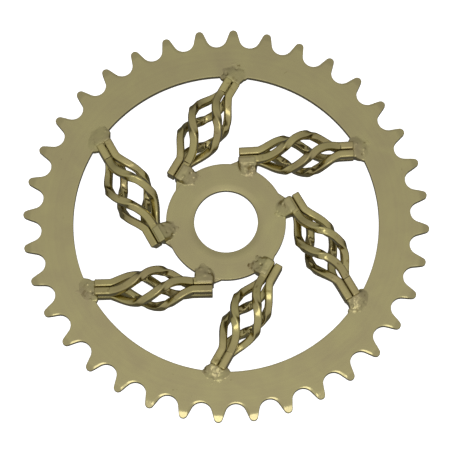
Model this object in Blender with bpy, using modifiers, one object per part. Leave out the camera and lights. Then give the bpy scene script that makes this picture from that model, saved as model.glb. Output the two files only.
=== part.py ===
"""Welded birdcage sprocket: a toothed ring and a plain hub disc, joined by six twisted spokes.

The sprocket lies flat. +Z is its turning axis, and the origin is the centre of the bore, half way
through the thickness of the plates. Each spoke is a basket of four square bars: they lie together
as a two by two bundle at both ends, and bulge apart in a left-handed half turn between them. A weld
joins each bundle's outer end to the ring, and another joins its inner end to the hub's edge, which
has a shallow notch for the bundle's side.
"""

import math

import bmesh
import bpy
from mathutils import Matrix, Vector

# Driving dimensions, in metres.
CHAIN_PITCH = 0.0127
TEETH = 36
ROLLER_SEAT_RADIUS = 0.00395
TOOTH_TIP_RADIUS = 0.0016
TIP_CIRCLE_RADIUS = 0.07587
TOOTH_PHASE = math.radians(7.7)
RING_INNER_RADIUS = 0.05705
HUB_RADIUS = 0.0224
BORE_RADIUS = 0.0119
PLATE_THICKNESS = 0.0025

BAR_SIZE = 0.003
BAR_GAP = 0.00025
SPOKE_OFFSET = 0.0254
BULGE_START = 0.0123
BULGE_END = 0.0429
BULGE_POWER = 1.35
SPOKE_TWIST = math.radians(180)
CLEARANCE = 0.00025

# Where the bars' two quarter rolls lie, as fractions of the bulge.
FIRST_ROLL = (0.26, 0.44)
SECOND_ROLL = (0.54, 0.72)

# Weld beads: where their middles lie from the bars' ends, and their half sizes, both in the
# spoke's own frame.
RIM_WELD_PLACE = Vector((0.0015, 0.0008, 0))
RIM_WELD_SIZE = Vector((0.0036, 0.005, 0.0038))
HUB_WELD_PLACE = Vector((0.0025, -0.0048, 0))
HUB_WELD_SIZE = Vector((0.0046, 0.0036, 0.0036))

# How far the room for a bundle's end reaches back along the bars.
BUNDLE_ROOM = 0.009

# Steps of the curves.
SEAT_STEPS = 8
TIP_STEPS = 5
CIRCLE_STEPS = 120
BAR_CUTS = 26
WELD_SEGMENTS = 16
WELD_RINGS = 10

# Each spoke's direction, and how its hand-made shape departs from the nominal one: degrees round
# the hub, millimetres from the hub's centre line to the bars' inner ends, of bulge radius, of
# shift away from the hub and of shift towards the ring, then degrees of lean, of bundle roll at
# the hub and of bundle roll at the ring.
SPOKES = {
    "spoke_1": (60, 5.0, 8.0, 0.0, 0.0, 0, 0, -10),
    "spoke_2": (0, 5.0, 7.5, 1.0, 0.0, 3, 0, 0),
    "spoke_3": (300, 4.0, 7.5, 0.5, -1.5, 0, 0, 0),
    "spoke_4": (240, 5.0, 7.0, -1.0, 0.0, 1, 0, 0),
    "spoke_5": (180, 5.0, 7.0, 0.0, 0.0, 1, -10, -10),
    "spoke_6": (120, 5.0, 8.0, -0.5, 0.0, -1, 20, 0),
}

SPOKE_MIDDLE = (BULGE_START + BULGE_END) / 2
BUNDLE_RADIUS = (BAR_SIZE + BAR_GAP) / math.sqrt(2)
BUNDLE_SIZE = 2 * BAR_SIZE + BAR_GAP


def clear_scene():
    for obj in list(bpy.data.objects):
        bpy.data.objects.remove(obj, do_unlink=True)


def new_collection(name):
    collection = bpy.data.collections.new(name)
    bpy.context.scene.collection.children.link(collection)
    return collection


def new_material(name, colour, roughness):
    material = bpy.data.materials.new(name)
    material.use_nodes = True
    shader = material.node_tree.nodes["Principled BSDF"]
    shader.inputs["Base Color"].default_value = (*colour, 1)
    shader.inputs["Metallic"].default_value = 1.0
    shader.inputs["Roughness"].default_value = roughness
    return material


def polar(radius, angle):
    return Vector((radius * math.cos(angle), radius * math.sin(angle)))


def arc(centre, radius, start, end, steps):
    return [centre + polar(radius, start + (end - start) * i / steps) for i in range(steps + 1)]


def circle(radius, steps):
    return [polar(radius, 2 * math.pi * i / steps) for i in range(steps)]


def tooth_outline():
    """A roller seat, a straight flank, a round tip and a second flank, once for each tooth."""
    pitch_radius = CHAIN_PITCH / (2 * math.sin(math.pi / TEETH))
    half_step = math.pi / TEETH
    seat = Vector((pitch_radius, 0))
    tip = polar(TIP_CIRCLE_RADIUS - TOOTH_TIP_RADIUS, half_step)
    # The flank is the inner tangent of the seat's circle and the tip's circle.
    between = tip - seat
    towards_tip = math.atan2(between.y, between.x)
    opening = math.acos((ROLLER_SEAT_RADIUS + TOOTH_TIP_RADIUS) / between.length)
    touch = towards_tip + opening
    seat_arc = arc(seat, ROLLER_SEAT_RADIUS, 2 * math.pi - touch, touch, SEAT_STEPS)
    flank_end = touch - math.pi
    mirrored_end = 2 * half_step - flank_end
    tip_arc = arc(tip, TOOTH_TIP_RADIUS, flank_end, mirrored_end, TIP_STEPS)
    outline = []
    for tooth in range(TEETH):
        turn = Matrix.Rotation(TOOTH_PHASE - half_step + tooth * 2 * half_step, 2)
        outline += [turn @ point for point in seat_arc + tip_arc]
    return outline


def plate(name, outlines, material, collection):
    """A flat plate from closed outlines: the first is its edge, the others are its holes."""
    curve = bpy.data.curves.new(name, "CURVE")
    curve.dimensions = "2D"
    curve.fill_mode = "BOTH"
    curve.extrude = PLATE_THICKNESS / 2
    curve.materials.append(material)
    for outline in outlines:
        spline = curve.splines.new("POLY")
        spline.points.add(len(outline) - 1)
        for point, place in zip(spline.points, outline):
            point.co = (place.x, place.y, 0, 1)
        spline.use_cyclic_u = True
    obj = bpy.data.objects.new(name, curve)
    collection.objects.link(obj)
    return obj


def mesh_object(name, bm, material, collection, parent):
    mesh = bpy.data.meshes.new(name)
    bm.to_mesh(mesh)
    bm.free()
    if material:
        mesh.materials.append(material)
    obj = bpy.data.objects.new(name, mesh)
    obj.parent = parent
    collection.objects.link(obj)
    return obj


def smooth_step(value):
    value = min(max(value, 0.0), 1.0)
    return value * value * (3 - 2 * value)


class Spoke:
    """One basket spoke. Its own frame has +X towards the ring, +Y away from the hub and +Z up."""

    def __init__(self, row):
        direction, hub_end, bulge, away, along, lean, hub_roll, rim_roll = row
        self.direction = math.radians(direction)
        self.hub_end = hub_end / 1000 - SPOKE_MIDDLE
        self.bulge = bulge / 1000
        self.away = away / 1000
        self.along = along / 1000
        self.lean = math.radians(lean)
        self.hub_roll = math.radians(hub_roll)
        self.rim_roll = math.radians(rim_roll)

    def placement(self):
        across = SPOKE_OFFSET + self.away
        turn = Matrix.Rotation(self.direction, 4, "Z")
        centre = turn @ Vector((SPOKE_MIDDLE, across, 0))
        return centre, self.direction + self.lean

    def rim_end(self):
        """How far out the bars reach: the bundle's outer corner just clears the ring."""
        reach = RING_INNER_RADIUS - CLEARANCE
        corner = BUNDLE_SIZE / 2 * (math.cos(self.rim_roll) + abs(math.sin(self.rim_roll)))
        middle = Vector((SPOKE_MIDDLE, SPOKE_OFFSET + self.away))
        ahead = middle @ polar(1, self.lean)
        aside = middle @ polar(1, self.lean + math.pi / 2)
        return math.sqrt(reach ** 2 - (aside + corner) ** 2) - ahead

    def turned(self, share):
        """The bundle's angle about the spoke's axis once this share of the twist is done."""
        whole = SPOKE_TWIST + self.rim_roll - self.hub_roll
        return self.hub_roll + whole * share

    def bulge_start(self):
        return BULGE_START - SPOKE_MIDDLE + self.along

    def bulge_share(self, x):
        share = (x - self.bulge_start()) / (BULGE_END - BULGE_START)
        return min(max(share, 0.0), 1.0)

    def bar_centre(self, bar, x):
        share = self.bulge_share(x)
        swell = math.sin(math.pi * share) ** BULGE_POWER
        radius = BUNDLE_RADIUS + (self.bulge - BUNDLE_RADIUS) * swell
        angle = math.radians(45 + 90 * bar) + self.turned(share)
        return Vector((x, radius * math.sin(angle), radius * math.cos(angle)))

    def bar_point(self, bar, x, side, up):
        """Where a point of the straight bar goes when the bar is bent into the basket."""
        step = BAR_SIZE / 20
        tangent = self.bar_centre(bar, x + step) - self.bar_centre(bar, x - step)
        tangent.normalize()
        share = self.bulge_share(x)
        first = smooth_step((share - FIRST_ROLL[0]) / (FIRST_ROLL[1] - FIRST_ROLL[0]))
        second = smooth_step((share - SECOND_ROLL[0]) / (SECOND_ROLL[1] - SECOND_ROLL[0]))
        roll = math.radians(90 * bar) + self.turned((first + second) / 2)
        normal = Vector((0, math.sin(roll), math.cos(roll)))
        normal = (normal - tangent * normal.dot(tangent)).normalized()
        width = normal.cross(tangent)
        return self.bar_centre(bar, x) + width * side + normal * up


def add_bar(name, spoke, bar, material, collection, parent):
    """A square bar: a box with cuts along its length, each section moved onto the bent line."""
    bm = bmesh.new()
    bmesh.ops.create_cube(bm, size=1)
    long_edges = [e for e in bm.edges if abs(e.verts[0].co.x - e.verts[1].co.x) > 0.5]
    bmesh.ops.subdivide_edges(bm, edges=long_edges, cuts=BAR_CUTS, use_grid_fill=True)
    length = spoke.rim_end() - spoke.hub_end
    middle = spoke.hub_end + length / 2
    for vertex in bm.verts:
        x, side, up = vertex.co
        vertex.co = spoke.bar_point(bar, middle + x * length, side * BAR_SIZE, up * BAR_SIZE)
    return mesh_object(name, bm, material, collection, parent)


def add_box(name, low_x, high_x, size, roll, collection, parent):
    bm = bmesh.new()
    bmesh.ops.create_cube(bm, size=1)
    bmesh.ops.scale(bm, vec=(high_x - low_x, size, size), verts=bm.verts)
    bmesh.ops.rotate(bm, matrix=Matrix.Rotation(-roll, 3, "X"), verts=bm.verts)
    bmesh.ops.translate(bm, vec=((high_x + low_x) / 2, 0, 0), verts=bm.verts)
    return mesh_object(name, bm, None, collection, parent)


def cut_away(obj, cutters):
    for cutter in cutters:
        cut = obj.modifiers.new("less " + cutter.name, "BOOLEAN")
        cut.operation = "DIFFERENCE"
        cut.solver = "EXACT"
        cut.object = cutter


def add_weld(name, centre, radii, material, collection, parent):
    """A weld bead: a flattened ball, which is then cut by the pieces that it joins."""
    bm = bmesh.new()
    bmesh.ops.create_uvsphere(bm, u_segments=WELD_SEGMENTS, v_segments=WELD_RINGS, radius=1)
    bmesh.ops.scale(bm, vec=radii, verts=bm.verts)
    bmesh.ops.translate(bm, vec=centre, verts=bm.verts)
    return mesh_object(name, bm, material, collection, parent)


def add_turned(name, outer_radius, inner_radius, half_height, material, collection):
    """A turned ring about the sprocket's axis, from a profile that runs down its outer side."""
    profile = [(outer_radius, half_height), (outer_radius, -half_height),
               (inner_radius, -half_height), (inner_radius, half_height)]
    bm = bmesh.new()
    corners = [bm.verts.new((radius, 0, z)) for radius, z in profile]
    for start, end in zip(corners, corners[1:] + corners[:1]):
        bm.edges.new((start, end))
    obj = mesh_object(name, bm, material, collection, None)
    turn = obj.modifiers.new("turn", "SCREW")
    turn.steps = turn.render_steps = CIRCLE_STEPS
    turn.use_merge_vertices = True
    turn.merge_threshold = 0.00001
    return obj


def hide_cutters(cutters):
    for obj in cutters.objects:
        obj.hide_render = True
        obj.display_type = "WIRE"


def build():
    clear_scene()
    parts = new_collection("birdcage_sprocket")
    cutters = new_collection("cutters")
    plate_metal = new_material("satin_gold_plate", (0.42, 0.37, 0.20), 0.38)
    bar_metal = new_material("bright_gold_bar", (0.46, 0.40, 0.20), 0.26)
    weld_metal = new_material("rough_gold_weld", (0.40, 0.35, 0.19), 0.48)

    half = PLATE_THICKNESS / 2
    plate("toothed_ring", [tooth_outline(), circle(RING_INNER_RADIUS, CIRCLE_STEPS)],
          plate_metal, parts)
    hub = add_turned("hub_disc", HUB_RADIUS, BORE_RADIUS, half, plate_metal, parts)
    ring_room = add_turned("ring_room", TIP_CIRCLE_RADIUS, RING_INNER_RADIUS - CLEARANCE,
                           half + CLEARANCE, None, cutters)
    hub_room = add_turned("hub_room", HUB_RADIUS + CLEARANCE, BORE_RADIUS,
                          half + CLEARANCE, None, cutters)

    room_size = BUNDLE_SIZE + 2 * CLEARANCE
    for name, row in SPOKES.items():
        spoke = Spoke(row)
        frame = bpy.data.objects.new(name, None)
        frame.location, frame.rotation_euler.z = spoke.placement()
        parts.objects.link(frame)
        for bar in range(4):
            add_bar(f"{name}_bar_{bar + 1}", spoke, bar, bar_metal, parts, frame)

        rim_end = spoke.rim_end()
        rim_room = add_box(name + "_rim_room", rim_end - BUNDLE_ROOM, rim_end + CLEARANCE,
                           room_size, spoke.rim_roll, cutters, frame)
        rim_weld = add_weld(name + "_rim_weld", RIM_WELD_PLACE + Vector((rim_end, 0, 0)),
                            RIM_WELD_SIZE, weld_metal, parts, frame)
        cut_away(rim_weld, [rim_room, ring_room])

        bundle_room = add_box(name + "_bundle_room", spoke.hub_end - CLEARANCE,
                              spoke.hub_end + BUNDLE_ROOM, room_size, spoke.hub_roll,
                              cutters, frame)
        hub_weld = add_weld(name + "_hub_weld", HUB_WELD_PLACE + Vector((spoke.hub_end, 0, 0)),
                            HUB_WELD_SIZE, weld_metal, parts, frame)
        cut_away(hub_weld, [bundle_room, hub_room])
        cut_away(hub, [bundle_room])
    hide_cutters(cutters)


build()
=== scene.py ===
"""The looks of the welded birdcage sprocket: fine surfaces, gold plating, studio and camera.

Each CAD solid gives its place to a finer mesh of the same size: plates with rounded edges and a
smooth tooth outline, bars with rolled corners and tool marks, and weld beads that run into the
pieces they join. Lengths are in metres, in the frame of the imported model.
"""

import math
import random

import bmesh
import bpy
import numpy as np
from mathutils import Matrix, Vector, noise


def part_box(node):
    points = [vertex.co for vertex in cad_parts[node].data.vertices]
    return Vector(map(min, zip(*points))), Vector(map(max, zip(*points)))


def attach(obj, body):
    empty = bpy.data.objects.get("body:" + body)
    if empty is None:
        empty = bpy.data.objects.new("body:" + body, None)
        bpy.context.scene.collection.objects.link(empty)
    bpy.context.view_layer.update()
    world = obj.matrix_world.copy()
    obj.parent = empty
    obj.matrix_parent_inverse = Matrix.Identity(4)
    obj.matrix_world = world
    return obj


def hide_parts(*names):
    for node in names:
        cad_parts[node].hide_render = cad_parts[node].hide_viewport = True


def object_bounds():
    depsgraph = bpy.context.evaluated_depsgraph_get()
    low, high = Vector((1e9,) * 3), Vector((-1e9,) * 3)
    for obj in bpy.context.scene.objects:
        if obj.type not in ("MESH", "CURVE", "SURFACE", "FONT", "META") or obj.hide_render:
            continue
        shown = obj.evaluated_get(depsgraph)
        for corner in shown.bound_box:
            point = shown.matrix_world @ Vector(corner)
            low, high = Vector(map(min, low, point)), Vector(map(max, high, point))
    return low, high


# Driving dimensions of the model, which the fine surfaces keep.
CHAIN_PITCH = 0.0127
TEETH = 36
TIP_CIRCLE_RADIUS = 0.07587
RING_INNER_RADIUS = 0.05705
BORE_RADIUS = 0.0119
ROLLER_SEAT_RADIUS = 0.00395
TOOTH_TIP_RADIUS = 0.0016
TOOTH_PHASE = math.radians(7.7)
BAR_SIZE = 0.003
BAR_GAP = 0.00025
SPOKE_OFFSET = 0.0254
BULGE_START = 0.0123
BULGE_END = 0.0429
BULGE_POWER = 1.35
SPOKE_TWIST = math.radians(180)
CLEARANCE = 0.00025
FIRST_ROLL = (0.26, 0.44)
SECOND_ROLL = (0.54, 0.72)
SPOKE_MIDDLE = (BULGE_START + BULGE_END) / 2
BUNDLE_RADIUS = (BAR_SIZE + BAR_GAP) / math.sqrt(2)
BUNDLE_SIZE = 2 * BAR_SIZE + BAR_GAP

# Each spoke: degrees round the hub, millimetres of hub end, of bulge radius and of shift away from
# the hub and towards the ring, degrees of lean, and degrees of roll at the hub and at the ring.
SPOKES = {
    "spoke_1": (60, 5.0, 8.0, 0.0, 0.0, 0, 0, -10),
    "spoke_2": (0, 5.0, 7.5, 1.0, 0.0, 3, 0, 0),
    "spoke_3": (300, 4.0, 7.5, 0.5, -1.5, 0, 0, 0),
    "spoke_4": (240, 5.0, 7.0, -1.0, 0.0, 1, 0, 0),
    "spoke_5": (180, 5.0, 7.0, 0.0, 0.0, 1, -10, -10),
    "spoke_6": (120, 5.0, 8.0, -0.5, 0.0, -1, 20, 0),
}

# Rounding of the plates' edges and of the bars' ends, the power that squares a bar's section, and
# steps of the fine surfaces.
PLATE_ROUNDING = 0.00016
BAR_ROUNDING = 0.00032
BAR_POWER = 6
BAR_POINTS = 32
ROUNDING_STEPS = 4
SEAT_STEPS = 14
TIP_STEPS = 9
FLANK_STEPS = 6
HUB_COLUMNS = 240
BAR_SECTIONS = 120

# The ground shoulder round the teeth, its width and slope, and the longer bevel of the tips.
SHOULDER_WIDTH = 0.0010
SHOULDER_SLOPE = 0.2
SHOULDER_POWER = 1.06
SHOULDER_EVEN = 0.6
SHOULDER_BIAS = 0.7
BIAS_REACH = 0.012
TIP_BEVEL = 0.0026
TIP_SLOPE = 0.19

# How far in from the bore the hub's face is drawn down, and how deep.
DISH_WIDTH = 0.0030
DISH_DEPTH = 0.00025

# Weld beads: size of the skin's cells, how far hidden faces stay inside their neighbours, and how
# far a cover reaches in under its bundle.
WELD_VOXEL = 0.0002
WELD_INSET = 0.000025
WELD_HIDDEN = 0.0005

# How thickly the hub's beads cover the bars, how far that cover stops short of the bundle's middle
# and of its bulge, how far its foot lies below its top, and its reach past the bars' ends at the
# top and at the foot.
COVER = 0.00028
COVER_SLOPE = 0.001
COVER_FALL = 0.0004
COVER_WRAP = 0.0001
COVER_END = 0.00045

# Rounds of flow that fill the corners, and height and scale of the lumps.
RIM_FLOW = 20
HUB_FLOW = 18
RIM_LUMPS = 0.0001
HUB_LUMPS = 0.00013
LUMP_SCALE = 560

# The ring's beads: the plate behind the pad, the neck round the bars' ends, the pad's crown, and
# the step between its foot and its crown, as shares of its spread and height.
PAD_BACKING = 0.009
NECK_START = 0.0001
NECK_END = 0.0008
NECK_INSET = 0.0001
NECK_HALF = 0.0023
CROWN_INSET = 0.0006
CROWN_REACH = 0.0006
PAD_STEP_SPREAD = 0.62
PAD_STEP_RISE = 0.42

# Points round the toe of a bead.
TOE_POINTS = 40

# The filler metal that has run in between a bundle's four bars.
CORE_HALF = 0.0006

# The hub's beads: the plate behind the ramp, the ramp's depth, the insets of its crest and foot,
# and how far its rounded toe flares out.
HUB_BACKING = 0.008
RAMP_DEPTH = 0.0042
CREST_INSET = 0.0004
CREST_DROP = 0.8
CREST_END = 0.0006
FOOT_INSET = 0.0006
TOE_FLARE = 0.0007

# The nominal pad on the ring: shift outwards and sideways, half its depth and width, and its height
# above the plates' middle; the fillets on the bundle's far side and on its hub side.
RIM_PAD = (0.0004, 0.0005, 0.0034, 0.0050, 0.0024)
RIM_CORNERS = (0.0014, 0.0008)

# The nominal ramp at the hub: the web's length along the hub's edge, its height up the bars' ends,
# and the ramp's reach past the start of the bulge.
HUB_RAMP = (0.0050, 0.0020, -0.0005)

# How much the hand-laid beads vary, and the pits and drops that are scattered over each of them:
# their number, the range of their radii and the greatest depth, in millimetres.
BEAD_VARIATION = 0.0004
MARK_COUNT = 4
MARK_RADII = (0.4, 0.9)
MARK_DEPTH = 0.5
DROP_SHARE = 0.35
DROP_HEIGHT = 0.3

# What keeps the hub's beads from repeating the ring's.
HUB_SEED = 40

# The studio's tent: brightness by height, from straight down to straight up, and the share of it
# at the back and at the front.
TENT_HEIGHTS = [(0.0, 0.12), (0.46, 0.15), (0.53, 0.36), (0.65, 0.48), (0.85, 0.57), (0.95, 0.57),
                (0.98, 0.67), (1.0, 0.84)]
TENT_BACK = 0.92
TENT_FRONT = 1.2

# A soft oval lamp beside the viewer, with a dark hood in its middle.
LAMP_PLACE = Vector((0.004, -0.225, 0.76))
LAMP_SIZE = (0.34, 0.17)
LAMP_POWER = 0.28
HOOD_RADIUS = 0.012
HOOD_SHARE = 0.97

# The tints of brown stains and of dirt on the plating.
STAIN_TINT = (0.45, 0.39, 0.28)
DIRT_TINT = (0.07, 0.06, 0.04)
STAIN_EDGE = 0.09

# How strongly red, green and blue follow the clouds, in their yellow and in their brown parts.
YELLOW_LEAN = (0.8, 1.0, 0.3)
BROWN_LEAN = (0.7, 1.0, 0.5)

# Scale of the dirty patches, and where they start in the noise.
PATCH_SCALE = 150
PATCH_START = 0.60
PATCH_FULL = 0.72

# Camera: its distance, the point it looks at, its tilt from straight above, its turn to the side,
# its roll and its lens in millimetres.
CAMERA_DISTANCE = 0.811
CAMERA_AIM = Vector((0, -0.0015, 0))
CAMERA_TILT = math.radians(15.1)
CAMERA_TURN = math.radians(1.3)
CAMERA_ROLL = math.radians(-1.5)
CAMERA_LENS = 173

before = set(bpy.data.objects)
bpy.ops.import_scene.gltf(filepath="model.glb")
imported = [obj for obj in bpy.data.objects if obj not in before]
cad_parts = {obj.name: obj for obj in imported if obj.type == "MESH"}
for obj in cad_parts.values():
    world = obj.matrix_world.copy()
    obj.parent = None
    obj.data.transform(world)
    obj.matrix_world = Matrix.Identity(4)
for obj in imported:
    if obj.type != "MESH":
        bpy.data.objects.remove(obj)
CAD_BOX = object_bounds()

RING_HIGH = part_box("toothed_ring")[1]
HUB_LOW, HUB_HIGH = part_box("hub_disc")
PLATE_HALF = RING_HIGH.z
HUB_RADIUS = (HUB_HIGH.x - HUB_LOW.x) / 2


# ---------------------------------------------------------------- shapes


def polar(radius, angle):
    return Vector((radius * math.cos(angle), radius * math.sin(angle)))


def smooth_step(value):
    value = min(max(value, 0.0), 1.0)
    return value * value * (3 - 2 * value)


def arc(centre, radius, start, end, steps):
    return [centre + polar(radius, start + (end - start) * i / steps) for i in range(steps + 1)]


def tooth_outline():
    """A roller seat, a straight flank, a round tip and a second flank, once for each tooth."""
    pitch_radius = CHAIN_PITCH / (2 * math.sin(math.pi / TEETH))
    half_step = math.pi / TEETH
    seat = Vector((pitch_radius, 0))
    tip = polar(TIP_CIRCLE_RADIUS - TOOTH_TIP_RADIUS, half_step)
    between = tip - seat
    opening = math.acos((ROLLER_SEAT_RADIUS + TOOTH_TIP_RADIUS) / between.length)
    touch = math.atan2(between.y, between.x) + opening
    seat_arc = arc(seat, ROLLER_SEAT_RADIUS, 2 * math.pi - touch, touch, SEAT_STEPS)
    flank_end = touch - math.pi
    tip_arc = arc(tip, TOOTH_TIP_RADIUS, flank_end, 2 * half_step - flank_end, TIP_STEPS)
    next_seat = Matrix.Rotation(2 * half_step, 2) @ seat_arc[0]
    shares = [i / FLANK_STEPS for i in range(1, FLANK_STEPS)]
    rising = [seat_arc[-1].lerp(tip_arc[0], share) for share in shares]
    falling = [tip_arc[-1].lerp(next_seat, share) for share in shares]
    outline = []
    for tooth in range(TEETH):
        turn = Matrix.Rotation(TOOTH_PHASE - half_step + tooth * 2 * half_step, 2)
        outline += [turn @ point for point in seat_arc + rising + tip_arc + falling]
    return outline


def mesh_from_grid(name, grid, closed_rows, caps=False):
    """A mesh from rows of points; every row is a closed loop. Caps close the first and last row."""
    rows, columns = len(grid), len(grid[0])
    points = [point for row in grid for point in row]
    faces = []
    for i in range(rows if closed_rows else rows - 1):
        low, high = i * columns, ((i + 1) % rows) * columns
        for j in range(columns):
            k = (j + 1) % columns
            faces.append((low + j, low + k, high + k, high + j))
    if caps:
        faces.append(tuple(reversed(range(columns))))
        faces.append(tuple((rows - 1) * columns + j for j in range(columns)))
    mesh = bpy.data.meshes.new(name)
    mesh.from_pydata(points, [], faces)
    mesh.validate()
    bm = bmesh.new()
    bm.from_mesh(mesh)
    bmesh.ops.recalc_face_normals(bm, faces=bm.faces)
    bm.to_mesh(mesh)
    bm.free()
    mesh.shade_smooth()
    return mesh


def outline_normals(outline):
    count = len(outline)
    normals = []
    for i in range(count):
        along = outline[(i + 1) % count] - outline[i - 1]
        normals.append(Vector((along.y, -along.x)).normalized())
    return normals


def rounding_arc():
    """(inward, downward) steps of a rounded edge, from the wall to the face, as shares of its radius."""
    angles = [math.pi / 2 * i / ROUNDING_STEPS for i in range(ROUNDING_STEPS + 1)]
    return [(1 - math.cos(a), 1 - math.sin(a)) for a in angles]


def shoulder_drop(inward, x, normal):
    """How far a hand-ground shoulder has dropped at a distance in from the edge.

    It is wider on the flanks that face the sprocket's middle plane than on those that face away.
    """
    side = min(max(x / BIAS_REACH, -1), 1)
    width = SHOULDER_WIDTH * min(max(SHOULDER_EVEN - SHOULDER_BIAS * side * normal.x, 0.1), 1)
    share = min(inward / width, 1)
    return SHOULDER_SLOPE * width * (1 - share) ** SHOULDER_POWER


def tip_drop(point):
    """How far the bevel across the teeth's tips has dropped."""
    return TIP_SLOPE * max(math.hypot(*point) - TIP_CIRCLE_RADIUS + TIP_BEVEL, 0)


def bore_drop(point):
    """How far the hub's face has dropped round its bore."""
    inward = 1 - (math.hypot(*point) - BORE_RADIUS) / DISH_WIDTH
    return DISH_DEPTH * max(inward, 0) ** 2


def plate_mesh(name, outline, inner_radius, face_rows, shoulder_rows):
    """A flat ring whose section is lofted round: inner wall, rounded edges, faces and outer wall.

    With shoulder rows it is the toothed ring, and without them the hub.
    """
    count = len(outline)
    normals = outline_normals(outline)
    start = math.atan2(outline[0].y, outline[0].x)
    inner = [polar(1, start + 2 * math.pi * i / count) for i in range(count)]
    half, rounding = PLATE_HALF, PLATE_ROUNDING
    last_inner = inner_radius + rounding
    shoulder = [rounding + (SHOULDER_WIDTH - rounding) * share for share in shoulder_rows]
    last_outer = shoulder[0] if shoulder else rounding

    def drop(point, inward, normal):
        if not shoulder:
            return bore_drop(point)
        return max(tip_drop(point), shoulder_drop(inward, point.x, normal))

    def outer_row(inward, fall):
        row = []
        for p, n in zip(outline, normals):
            point = p - n * inward
            row.append((*point, half - fall - drop(point, max(inward, rounding), n)))
        return row

    def inner_row(outward, fall):
        points = [u * (inner_radius + outward) for u in inner]
        return [(*point, half - fall - (0 if shoulder else bore_drop(point))) for point in points]

    edge = rounding_arc()
    top = [inner_row(s * rounding, d * rounding) for s, d in edge]
    for share in face_rows:
        row = []
        for p, n, u in zip(outline, normals, inner):
            point = (u * last_inner).lerp(p - n * last_outer, share)
            row.append((*point, half - (tip_drop(point) if shoulder else bore_drop(point))))
        top.append(row)
    top += [outer_row(inward, 0) for inward in shoulder]
    top += [outer_row(s * rounding, d * rounding) for s, d in reversed(edge)]
    bottom = [[(x, y, -z) for x, y, z in row] for row in reversed(top)]
    return mesh_from_grid(name, top + bottom, closed_rows=True)


class Spoke:
    """One basket spoke. Its own frame has +X towards the ring, +Y away from the hub and +Z up."""

    def __init__(self, row):
        direction, hub_end, bulge, away, along, lean, hub_roll, rim_roll = row
        self.direction = math.radians(direction)
        self.hub_end = hub_end / 1000 - SPOKE_MIDDLE
        self.bulge = bulge / 1000
        self.away = away / 1000
        self.along = along / 1000
        self.lean = math.radians(lean)
        self.hub_roll = math.radians(hub_roll)
        self.rim_roll = math.radians(rim_roll)

    def matrix(self):
        across = SPOKE_OFFSET + self.away
        centre = Matrix.Rotation(self.direction, 4, "Z") @ Vector((SPOKE_MIDDLE, across, 0))
        return Matrix.Translation(centre) @ Matrix.Rotation(self.direction + self.lean, 4, "Z")

    def hub_offset(self):
        """Where the spoke's middle lies from the sprocket's axis: along the spoke and aside."""
        middle = Vector((SPOKE_MIDDLE, SPOKE_OFFSET + self.away))
        return middle @ polar(1, self.lean), middle @ polar(1, self.lean + math.pi / 2)

    def circle_crossing(self, radius, y):
        """How far along the line at y a circle about the sprocket's axis is met."""
        ahead, aside = self.hub_offset()
        return math.sqrt(radius ** 2 - (aside + y) ** 2) - ahead

    def rim_end(self):
        corner = BUNDLE_SIZE / 2 * (math.cos(self.rim_roll) + abs(math.sin(self.rim_roll)))
        return self.circle_crossing(RING_INNER_RADIUS - CLEARANCE, corner)

    def ring_edge(self, y):
        return self.circle_crossing(RING_INNER_RADIUS, y)

    def hub_edge(self, x):
        """The side place, at x along the spoke, where the hub's edge lies."""
        ahead, aside = self.hub_offset()
        return math.sqrt(HUB_RADIUS ** 2 - (ahead + x) ** 2) - aside

    def outward(self, x):
        """The direction straight out from the sprocket's axis, at x on the spoke's middle line."""
        ahead, aside = self.hub_offset()
        return Vector((ahead + x, aside)).normalized()

    def turned(self, share):
        whole = SPOKE_TWIST + self.rim_roll - self.hub_roll
        return self.hub_roll + whole * share

    def bulge_start(self):
        return BULGE_START - SPOKE_MIDDLE + self.along

    def bulge_share(self, x):
        share = (x - self.bulge_start()) / (BULGE_END - BULGE_START)
        return min(max(share, 0.0), 1.0)

    def bar_centre(self, bar, x):
        share = self.bulge_share(x)
        swell = math.sin(math.pi * share) ** BULGE_POWER
        radius = BUNDLE_RADIUS + (self.bulge - BUNDLE_RADIUS) * swell
        angle = math.radians(45 + 90 * bar) + self.turned(share)
        return Vector((x, radius * math.sin(angle), radius * math.cos(angle)))

    def bar_frame(self, bar, x):
        """The middle of a bar's section at x, with its width and upward directions."""
        step = BAR_SIZE / 20
        tangent = self.bar_centre(bar, x + step) - self.bar_centre(bar, x - step)
        tangent.normalize()
        share = self.bulge_share(x)
        first = smooth_step((share - FIRST_ROLL[0]) / (FIRST_ROLL[1] - FIRST_ROLL[0]))
        second = smooth_step((share - SECOND_ROLL[0]) / (SECOND_ROLL[1] - SECOND_ROLL[0]))
        roll = math.radians(90 * bar) + self.turned((first + second) / 2)
        normal = Vector((0, math.sin(roll), math.cos(roll)))
        normal = (normal - tangent * normal.dot(tangent)).normalized()
        return self.bar_centre(bar, x), normal.cross(tangent), normal


def rounded_square(size):
    """The outline of a bar's section, as (width, height) pairs: its faces are faintly crowned."""
    points = []
    for i in range(BAR_POINTS):
        turn = polar(1, 2 * math.pi * (i + 0.5) / BAR_POINTS)
        reach = (abs(turn.x) ** BAR_POWER + abs(turn.y) ** BAR_POWER) ** (-1 / BAR_POWER)
        points.append(turn * reach * size / 2)
    return points


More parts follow.
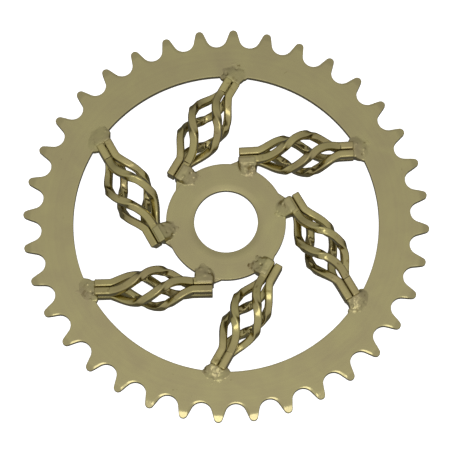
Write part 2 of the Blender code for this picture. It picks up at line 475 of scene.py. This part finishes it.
def bar_mesh(name, spoke, bar, seed):
    """A bar lofted along its bent line, with rounded corners, rounded ends and faint hammer marks."""
    start, end = spoke.hub_end, spoke.rim_end()
    places = [(start, 0.6), (start + BAR_ROUNDING * 0.25, 0.25), (start + BAR_ROUNDING, 0.0)]
    body = [start + BAR_ROUNDING + (end - start - 2 * BAR_ROUNDING) * i / BAR_SECTIONS
            for i in range(1, BAR_SECTIONS)]
    places += [(x, 0.0) for x in body]
    places += [(end - BAR_ROUNDING, 0.0), (end - BAR_ROUNDING * 0.25, 0.25), (end, 0.6)]
    grid = []
    for x, shrink in places:
        middle, width, up = spoke.bar_frame(bar, x)
        factor = 1 - 2 * shrink * BAR_ROUNDING / BAR_SIZE
        row = []
        for side, height in rounded_square(BAR_SIZE):
            point = middle + (width * side + up * height) * factor
            mark = noise.noise(Vector((x * 260, side * 300 + seed, height * 300)))
            row.append(point + (width * side + up * height).normalized() * mark * 0.00004)
        grid.append(row)
    return mesh_from_grid(name, grid, closed_rows=False, caps=True)


# ---------------------------------------------------------------- welds


def solid_mesh(bm, name):
    mesh = bpy.data.meshes.new(name)
    bm.to_mesh(mesh)
    bm.free()
    return mesh


def box_solid(low, high, roll=0.0):
    """A box, turned about the spoke's own axis as its bars are."""
    bm = bmesh.new()
    bmesh.ops.create_cube(bm, size=1)
    low, high = Vector(low), Vector(high)
    bmesh.ops.scale(bm, vec=high - low, verts=bm.verts)
    bmesh.ops.translate(bm, vec=(low + high) / 2, verts=bm.verts)
    bmesh.ops.rotate(bm, matrix=Matrix.Rotation(-roll, 3, "X"), verts=bm.verts)
    return solid_mesh(bm, "box")


def disc_solid(centre, radius, half):
    """A round disc through the plate, which fills the corner beside a bundle."""
    bm = bmesh.new()
    bmesh.ops.create_cone(bm, cap_ends=True, segments=32, radius1=radius, radius2=radius,
                          depth=2 * half)
    bmesh.ops.translate(bm, vec=centre, verts=bm.verts)
    return solid_mesh(bm, "disc")


def ellipse(centre, radial, across, radii, height):
    """Points round an ellipse at one height; radii are along and across the radial direction."""
    points = []
    for i in range(TOE_POINTS):
        turn = polar(1, 2 * math.pi * i / TOE_POINTS)
        place = centre + radial * radii[0] * turn.x + across * radii[1] * turn.y
        points.append((place.x, place.y, height))
    return points


def mirrored(points):
    """The points and their mirror images on the other side of the plate."""
    return [tuple(point) for point in points] + [(x, y, -z) for x, y, z in points]


def hull_solid(points, roll=0.0):
    """The hull of some points, turned about the spoke's own axis as its bars are."""
    bm = bmesh.new()
    for point in points:
        bm.verts.new(point)
    hull = bmesh.ops.convex_hull(bm, input=bm.verts)
    inner = [v for v in hull["geom_interior"] if isinstance(v, bmesh.types.BMVert)]
    bmesh.ops.delete(bm, geom=inner, context="VERTS")
    bmesh.ops.rotate(bm, matrix=Matrix.Rotation(-roll, 3, "X"), verts=bm.verts)
    return solid_mesh(bm, "hull")


def sector_solid(low_radius, high_radius, middle, spread, half, to_spoke):
    """A piece of a flat ring about the sprocket's axis, given in a spoke's own frame."""
    steps = 16
    angles = [middle + spread * (2 * i / steps - 1) for i in range(steps + 1)]
    outline = [polar(high_radius, a) for a in angles] + [polar(low_radius, a) for a in reversed(angles)]
    bm = bmesh.new()
    face = bm.faces.new([bm.verts.new(to_spoke @ Vector((p.x, p.y, -half))) for p in outline])
    made = bmesh.ops.extrude_face_region(bm, geom=[face])
    moved = [v for v in made["geom"] if isinstance(v, bmesh.types.BMVert)]
    bmesh.ops.translate(bm, vec=(0, 0, 2 * half), verts=moved)
    bmesh.ops.recalc_face_normals(bm, faces=bm.faces)
    return solid_mesh(bm, "sector")


def melt_together(name, meshes, rounds):
    """Runs solids into one skin and smooths it, so that every inner corner fills with a fillet."""
    bm = bmesh.new()
    for mesh in meshes:
        bm.from_mesh(mesh)
    obj = bpy.data.objects.new(name, solid_mesh(bm, name))
    bpy.context.scene.collection.objects.link(obj)
    remesh = obj.modifiers.new("skin", "REMESH")
    remesh.mode = "VOXEL"
    remesh.voxel_size = WELD_VOXEL
    flow = obj.modifiers.new("flow", "SMOOTH")
    flow.factor = 0.5
    flow.iterations = rounds
    depsgraph = bpy.context.evaluated_depsgraph_get()
    mesh = bpy.data.meshes.new_from_object(obj.evaluated_get(depsgraph))
    bpy.data.objects.remove(obj, do_unlink=True)
    mesh.shade_smooth()
    return mesh


def varied(sizes, chance):
    """Nominal sizes with the small differences of hand work."""
    return [size + chance.uniform(-BEAD_VARIATION, BEAD_VARIATION) for size in sizes]


def scattered_marks(centre, along, across, chance):
    """Pits and a few raised drops at seeded places on a bead: x, y, radius and depth, in mm."""
    marks = []
    for _ in range(MARK_COUNT):
        x = (centre.x + along * chance.uniform(-1, 1)) * 1000
        y = (centre.y + across * chance.uniform(-1, 1)) * 1000
        depth = chance.uniform(MARK_DEPTH / 2, MARK_DEPTH)
        if chance.random() < DROP_SHARE:
            depth = -DROP_HEIGHT
        marks.append((x, y, chance.uniform(*MARK_RADII), depth))
    return marks


def roughen(mesh, centre, reach, lumps, marks, seed):
    """Lumps over the bead, fading out past its toe, with pits pressed in and drops raised."""
    count = len(mesh.vertices)
    places = np.empty(count * 3, np.float32)
    normals = np.empty(count * 3, np.float32)
    mesh.vertices.foreach_get("co", places)
    mesh.vertices.foreach_get("normal", normals)
    places, normals = places.reshape(-1, 3), normals.reshape(-1, 3)
    distance = np.linalg.norm((places - np.array(centre)) / reach, axis=1)
    inside = np.clip((1.3 - distance) / 0.4, 0, 1)
    offset = np.zeros(count, np.float32)
    for i in np.nonzero(inside > 0)[0]:
        spot = Vector(places[i].tolist()) * LUMP_SCALE + Vector((seed, 0, 0))
        offset[i] = noise.fractal(spot, 1.0, 2.0, 3) * lumps * inside[i]
    above = places[:, 2] > 0
    for x, y, radius, depth in marks:
        flat_distance = np.hypot(places[:, 0] - x / 1000, places[:, 1] - y / 1000)
        press = np.exp(-(flat_distance / radius * 1000) ** 2 * 1.6)
        offset -= np.where(above, press * depth / 1000, 0)
    mesh.vertices.foreach_set("co", (places + normals * offset[:, None]).ravel())
    mesh.update()


# ---------------------------------------------------------------- materials


def node(tree, kind, **values):
    made = tree.nodes.new(kind)
    for key, value in values.items():
        if key.startswith("in_"):
            made.inputs[key[3:].replace("_", " ")].default_value = value
        else:
            setattr(made, key, value)
    return made


def noise_node(tree, coordinates, scale, detail, distortion=0.0):
    made = node(tree, "ShaderNodeTexNoise", in_Scale=scale, in_Detail=detail, in_Distortion=distortion)
    tree.links.new(coordinates, made.inputs["Vector"])
    return made.outputs["Fac"]


def ramp_node(tree, factor, stops):
    """Maps a factor to colours; stops are (place, colour) pairs."""
    made = node(tree, "ShaderNodeValToRGB")
    elements = made.color_ramp.elements
    while len(elements) < len(stops):
        elements.new(0.5)
    for element, (place, colour) in zip(elements, stops):
        element.position = place
        element.color = (*colour, 1)
    tree.links.new(factor, made.inputs["Fac"])
    return made.outputs["Color"]


def dirty_patches(tree, place):
    """One inside a few scattered patches, fading to nothing between them."""
    patches = noise_node(tree, place, PATCH_SCALE, 2, 0.3)
    return ramp_node(tree, patches, [(PATCH_START, (0, 0, 0)), (PATCH_FULL, (1, 1, 1))])


def gold_plating(name, colour, roughness, mottle, grain, stains, dirt=0.0, turned=0.0):
    """Satin gold plating: cloudy tone, faint turning marks, brown stains, uneven gloss and grain."""
    material = bpy.data.materials.new(name)
    material.use_nodes = True
    tree = material.node_tree
    shader = tree.nodes["Principled BSDF"]
    shader.inputs["Metallic"].default_value = 1.0
    place = node(tree, "ShaderNodeTexCoord").outputs["Object"]
    cloud = noise_node(tree, place, 90, 3, 0.6)
    if turned:
        outward = node(tree, "ShaderNodeVectorMath", operation="LENGTH")
        tree.links.new(place, outward.inputs[0])
        rings = noise_node(tree, outward.outputs["Value"], 420, 3)
        blend = node(tree, "ShaderNodeMix", data_type="FLOAT")
        blend.inputs["Factor"].default_value = turned
        tree.links.new(cloud, blend.inputs["A"])
        tree.links.new(rings, blend.inputs["B"])
        cloud = blend.outputs["Result"]
    light = tuple(c * (1 + mottle * lean) for c, lean in zip(colour, YELLOW_LEAN))
    dark = tuple(c * (1 - mottle * lean) for c, lean in zip(colour, BROWN_LEAN))
    tone = ramp_node(tree, cloud, [(0.3, dark), (0.7, light)])
    spots = noise_node(tree, place, 420, 4, 0.4)
    if dirt:
        lowered = node(tree, "ShaderNodeMath", operation="MULTIPLY_ADD")
        lowered.inputs[1].default_value = -dirt
        tree.links.new(dirty_patches(tree, place), lowered.inputs[0])
        tree.links.new(spots, lowered.inputs[2])
        spots = lowered.outputs["Value"]
    stain = ramp_node(tree, spots, [(0.02, DIRT_TINT), (stains - STAIN_EDGE, STAIN_TINT),
                                   (stains + STAIN_EDGE, (1, 1, 1))])
    mixed = node(tree, "ShaderNodeMix", data_type="RGBA", blend_type="MULTIPLY")
    mixed.inputs["Factor"].default_value = 1.0
    tree.links.new(tone, mixed.inputs["A"])
    tree.links.new(stain, mixed.inputs["B"])
    tree.links.new(mixed.outputs["Result"], shader.inputs["Base Color"])
    gloss = node(tree, "ShaderNodeMapRange")
    gloss.inputs["To Min"].default_value = roughness - 0.05
    gloss.inputs["To Max"].default_value = roughness + 0.07
    tree.links.new(noise_node(tree, place, 300, 3), gloss.inputs["Value"])
    tree.links.new(gloss.outputs["Result"], shader.inputs["Roughness"])
    bump = node(tree, "ShaderNodeBump", in_Strength=grain, in_Distance=0.00005)
    tree.links.new(noise_node(tree, place, 1600, 5), bump.inputs["Height"])
    tree.links.new(bump.outputs["Normal"], shader.inputs["Normal"])
    return material


# ---------------------------------------------------------------- pieces


def add_piece(name, mesh, material, nodes, matrix=None):
    obj = bpy.data.objects.new(name, mesh)
    bpy.context.scene.collection.objects.link(obj)
    if matrix:
        mesh.transform(matrix)
    mesh.materials.clear()
    mesh.materials.append(material)
    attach(obj, "root")
    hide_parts(*nodes)
    return obj


def make_plates(material):
    ring_rows = [0.03, 0.1, 0.25, 0.45, 0.65, 0.78, 0.84, 0.88, 0.91, 0.94, 0.97]
    shoulder_rows = [1.0, 0.85, 0.7, 0.55, 0.4, 0.25, 0.1]
    ring = plate_mesh("ring_surface", tooth_outline(), RING_INNER_RADIUS, ring_rows, shoulder_rows)
    add_piece("ring_surface", ring, material, ["toothed_ring"])
    hub_outline = [polar(HUB_RADIUS, 2 * math.pi * i / HUB_COLUMNS) for i in range(HUB_COLUMNS)]
    hub_rows = [0.04, 0.08, 0.12, 0.16, 0.2, 0.24, 0.28, 0.32, 0.36, 0.45, 0.6, 0.8, 0.95]
    hub = plate_mesh("hub_surface", hub_outline, BORE_RADIUS, hub_rows, [])
    add_piece("hub_surface", hub, material, ["hub_disc"])


def make_spoke(name, spoke, number, bar_metal, weld_metal):
    matrix = spoke.matrix()
    to_spoke = matrix.inverted()
    for bar in range(4):
        bar_name = f"{name}_bar_{bar + 1}"
        mesh = bar_mesh(bar_name, spoke, bar, seed=10 * number + bar)
        add_piece(bar_name + "_surface", mesh, bar_metal, [bar_name], matrix)

    make_rim_bead(name, spoke, number, weld_metal, matrix)
    make_hub_bead(name, spoke, number, weld_metal, matrix)


def make_rim_bead(name, spoke, number, metal, matrix):
    """The ring's bead: a low pad on both faces, and a neck round the bars' ends."""
    chance = random.Random(number)
    outward, sideways, depth, width, height = varied(RIM_PAD, chance)
    half = PLATE_HALF - WELD_INSET
    side = BUNDLE_SIZE / 2 - WELD_INSET
    end = spoke.rim_end()
    foot = Vector((spoke.ring_edge(0), 0))
    radial = spoke.outward(foot.x)
    across = Vector((-radial.y, radial.x))
    pad = foot + radial * outward + across * sideways
    place = matrix @ Vector((foot.x, 0, 0))
    roll = Matrix.Rotation(-spoke.rim_roll, 3, "X")
    crown_side = side - CROWN_INSET
    crown = [roll @ Vector((x, y, z)) for x in (end - NECK_START, end + CROWN_REACH)
             for y in (crown_side, -crown_side) for z in (height, -height)]
    inner_radii = (depth * PAD_STEP_SPREAD, width * PAD_STEP_SPREAD)
    inner_height = half + (height - half) * PAD_STEP_RISE
    pad_foot = ellipse(pad, radial, across, (depth, width), half)
    pad_foot += ellipse(pad, radial, across, inner_radii, inner_height)
    solids = [
        sector_solid(RING_INNER_RADIUS + WELD_INSET, RING_INNER_RADIUS + PAD_BACKING,
                     math.atan2(place.y, place.x), 0.2, half, matrix.inverted()),
        box_solid((end - NECK_START, -side + NECK_INSET, -NECK_HALF),
                  (end + NECK_END, side - NECK_INSET, NECK_HALF), spoke.rim_roll),
        hull_solid(crown + mirrored(pad_foot)),
        box_solid((spoke.bulge_start() + BULGE_END - BULGE_START, -CORE_HALF, -CORE_HALF),
                  (end, CORE_HALF, CORE_HALF), spoke.rim_roll),
    ]
    for facing, radius in zip((1, -1), RIM_CORNERS):
        across_place = facing * (side + radius / 2)
        corner = (spoke.ring_edge(across_place), across_place, 0)
        solids.append(disc_solid(corner, radius, half))
    bead = melt_together(name + "_rim_bead", solids, RIM_FLOW)
    marks = scattered_marks(pad, depth, width, chance)
    roughen(bead, (*pad, 0), max(depth, width), RIM_LUMPS, marks, number)
    add_piece(name + "_rim_bead", bead, metal, [name + "_rim_weld"], matrix)


def make_hub_bead(name, spoke, number, metal, matrix):
    """The hub's bead: a ramp from the hub's face up over the side of the bundle."""
    chance = random.Random(number + HUB_SEED)
    web, web_height, reach = varied(HUB_RAMP, chance)
    half = PLATE_HALF - WELD_INSET
    side = BUNDLE_SIZE / 2 - WELD_INSET
    start = spoke.hub_end
    end = spoke.bulge_start() - CREST_END
    turn = Matrix.Rotation(-spoke.hub_roll, 3, "X")
    middle = Vector(((start + end) / 2, -side - RAMP_DEPTH / 2, 0))
    place = matrix @ middle
    edge = side + COVER - CREST_INSET
    crest = [turn @ Vector((x, -edge, z)) for x in (start + CREST_INSET, end - CREST_INSET)
             for z in (side + COVER, -side - COVER)]
    crest += [turn @ Vector((x, -side - COVER, z)) for x in (start + CREST_INSET, end)
              for z in (edge * CREST_DROP, -edge * CREST_DROP)]
    foot = [(start - FOOT_INSET, spoke.hub_edge(start) - FOOT_INSET, half),
            (end + reach, spoke.hub_edge(end + reach) - FOOT_INSET, half)]
    toe = ellipse(Vector((middle.x, -side)), Vector((1, 0)), Vector((0, 1)),
                  ((end - start) / 2 + TOE_FLARE, RAMP_DEPTH + TOE_FLARE), half)
    foot += [point for point in toe if point[1] < spoke.hub_edge(point[0]) - FOOT_INSET]
    cover_top = [(x, y, side + COVER) for x in (start - COVER_WRAP, end - COVER_SLOPE)
                 for y in (-side - COVER, -COVER_SLOPE)]
    cover_foot = [(x, y, side - COVER_FALL) for x in (start - COVER_END, end)
                  for y in (-side - COVER, -WELD_HIDDEN)]
    web_top = [(start + CREST_INSET, -side + web_height, half),
               (start + CREST_INSET, -side - RAMP_DEPTH, half)]
    web_foot = [(start - web, spoke.hub_edge(start - web) - FOOT_INSET, half)]
    solids = [
        sector_solid(HUB_RADIUS - HUB_BACKING, HUB_RADIUS - WELD_INSET,
                     math.atan2(place.y, place.x), 0.5, half, matrix.inverted()),
        hull_solid(mirrored(cover_top + cover_foot), spoke.hub_roll),
        hull_solid(crest + mirrored(foot)),
        hull_solid(mirrored(web_top + web_foot)),
        box_solid((start + CREST_INSET, -CORE_HALF, -CORE_HALF), (end, CORE_HALF, CORE_HALF),
                  spoke.hub_roll),
    ]
    bead = melt_together(name + "_hub_bead", solids, HUB_FLOW)
    marks = scattered_marks(middle, (end - start) / 2, RAMP_DEPTH / 2, chance)
    roughen(bead, middle, (end - start) / 2 + CREST_INSET, HUB_LUMPS, marks, number + HUB_SEED)
    add_piece(name + "_hub_bead", bead, metal, [name + "_hub_weld"], matrix)


# ---------------------------------------------------------------- stage


def make_floor():
    bm = bmesh.new()
    bmesh.ops.create_grid(bm, x_segments=1, y_segments=1, size=3)
    mesh = bpy.data.meshes.new("floor")
    bm.to_mesh(mesh)
    bm.free()
    floor = bpy.data.objects.new("floor", mesh)
    floor.location.z = CAD_BOX[0][2] - 0.0002
    bpy.context.scene.collection.objects.link(floor)
    material = bpy.data.materials.new("floor_white")
    material.use_nodes = True
    shader = material.node_tree.nodes["Principled BSDF"]
    shader.inputs["Base Color"].default_value = (0.9, 0.9, 0.9, 1)
    shader.inputs["Roughness"].default_value = 0.9
    shader.inputs["Emission Color"].default_value = (1, 1, 1, 1)
    shader.inputs["Emission Strength"].default_value = 1.0
    mesh.materials.append(material)
    floor.visible_glossy = False


def add_area(name, place, target, size, power, colour=(1, 1, 1)):
    data = bpy.data.lights.new(name, "AREA")
    data.shape = "ELLIPSE"
    data.size, data.size_y = size
    data.energy = power
    data.color = colour
    light = bpy.data.objects.new(name, data)
    light.location = place
    light.rotation_euler = (Vector(place) - Vector(target)).to_track_quat("Z", "Y").to_euler()
    light.visible_camera = False
    bpy.context.scene.collection.objects.link(light)


def make_hood():
    """The dark round hood in the middle of the lamp."""
    bm = bmesh.new()
    bmesh.ops.create_circle(bm, cap_ends=True, segments=32, radius=HOOD_RADIUS)
    hood = bpy.data.objects.new("hood", solid_mesh(bm, "hood"))
    hood.location = LAMP_PLACE * HOOD_SHARE
    hood.rotation_euler = LAMP_PLACE.to_track_quat("Z", "Y").to_euler()
    bpy.context.scene.collection.objects.link(hood)
    material = bpy.data.materials.new("hood_black")
    material.use_nodes = True
    shader = material.node_tree.nodes["Principled BSDF"]
    shader.inputs["Base Color"].default_value = (0.01, 0.01, 0.01, 1)
    shader.inputs["Roughness"].default_value = 0.9
    hood.data.materials.append(material)
    hood.visible_camera = False
    hood.visible_shadow = False


def make_world():
    """A light tent: a little brighter overhead and on the front side, a little darker low down."""
    world = bpy.data.worlds.new("studio")
    bpy.context.scene.world = world
    world.use_nodes = True
    tree = world.node_tree
    background = tree.nodes["Background"]
    direction = node(tree, "ShaderNodeTexCoord").outputs["Generated"]
    parts = node(tree, "ShaderNodeSeparateXYZ")
    tree.links.new(direction, parts.inputs["Vector"])
    upward = node(tree, "ShaderNodeMapRange")
    upward.inputs["From Min"].default_value = -1.0
    tree.links.new(parts.outputs["Z"], upward.inputs["Value"])
    height = ramp_node(tree, upward.outputs["Result"], [(p, (g, g, g)) for p, g in TENT_HEIGHTS])
    front = node(tree, "ShaderNodeMapRange")
    front.inputs["From Min"].default_value = 1.0
    front.inputs["From Max"].default_value = -1.0
    front.inputs["To Min"].default_value = TENT_BACK
    front.inputs["To Max"].default_value = TENT_FRONT
    tree.links.new(parts.outputs["Y"], front.inputs["Value"])
    mixed = node(tree, "ShaderNodeMix", data_type="RGBA", blend_type="MULTIPLY")
    mixed.inputs["Factor"].default_value = 1.0
    tree.links.new(height, mixed.inputs["A"])
    tree.links.new(front.outputs["Result"], mixed.inputs["B"])
    tree.links.new(mixed.outputs["Result"], background.inputs["Color"])


def make_camera():
    data = bpy.data.cameras.new("camera")
    data.sensor_width = 36
    data.lens = CAMERA_LENS
    data.clip_start, data.clip_end = 0.01, 10
    camera = bpy.data.objects.new("camera", data)
    turn = Matrix.Rotation(CAMERA_TURN, 4, "Z") @ Matrix.Rotation(CAMERA_TILT, 4, "X")
    turn = turn @ Matrix.Rotation(CAMERA_ROLL, 4, "Z")
    place = CAMERA_AIM + turn @ Vector((0, 0, CAMERA_DISTANCE))
    camera.matrix_world = Matrix.Translation(place) @ turn
    bpy.context.scene.collection.objects.link(camera)
    bpy.context.scene.camera = camera


def main():
    plate_metal = gold_plating("satin_gold_plate", (0.446, 0.393, 0.2), 0.16, 0.09, 0.15, 0.19,
                               turned=0.3)
    bar_metal = gold_plating("bright_gold_bar", (0.462, 0.397, 0.18), 0.16, 0.1, 0.25, 0.28)
    weld_metal = gold_plating("rough_gold_weld", (0.446, 0.393, 0.2), 0.27, 0.14, 0.3, 0.31,
                              dirt=0.2)
    make_plates(plate_metal)
    for number, (name, row) in enumerate(SPOKES.items()):
        make_spoke(name, Spoke(row), number, bar_metal, weld_metal)
    make_floor()
    make_world()
    add_area("lamp", LAMP_PLACE, (0, 0, 0), LAMP_SIZE, LAMP_POWER)
    make_hood()
    make_camera()
    bpy.context.scene.view_settings.view_transform = "Standard"


main()
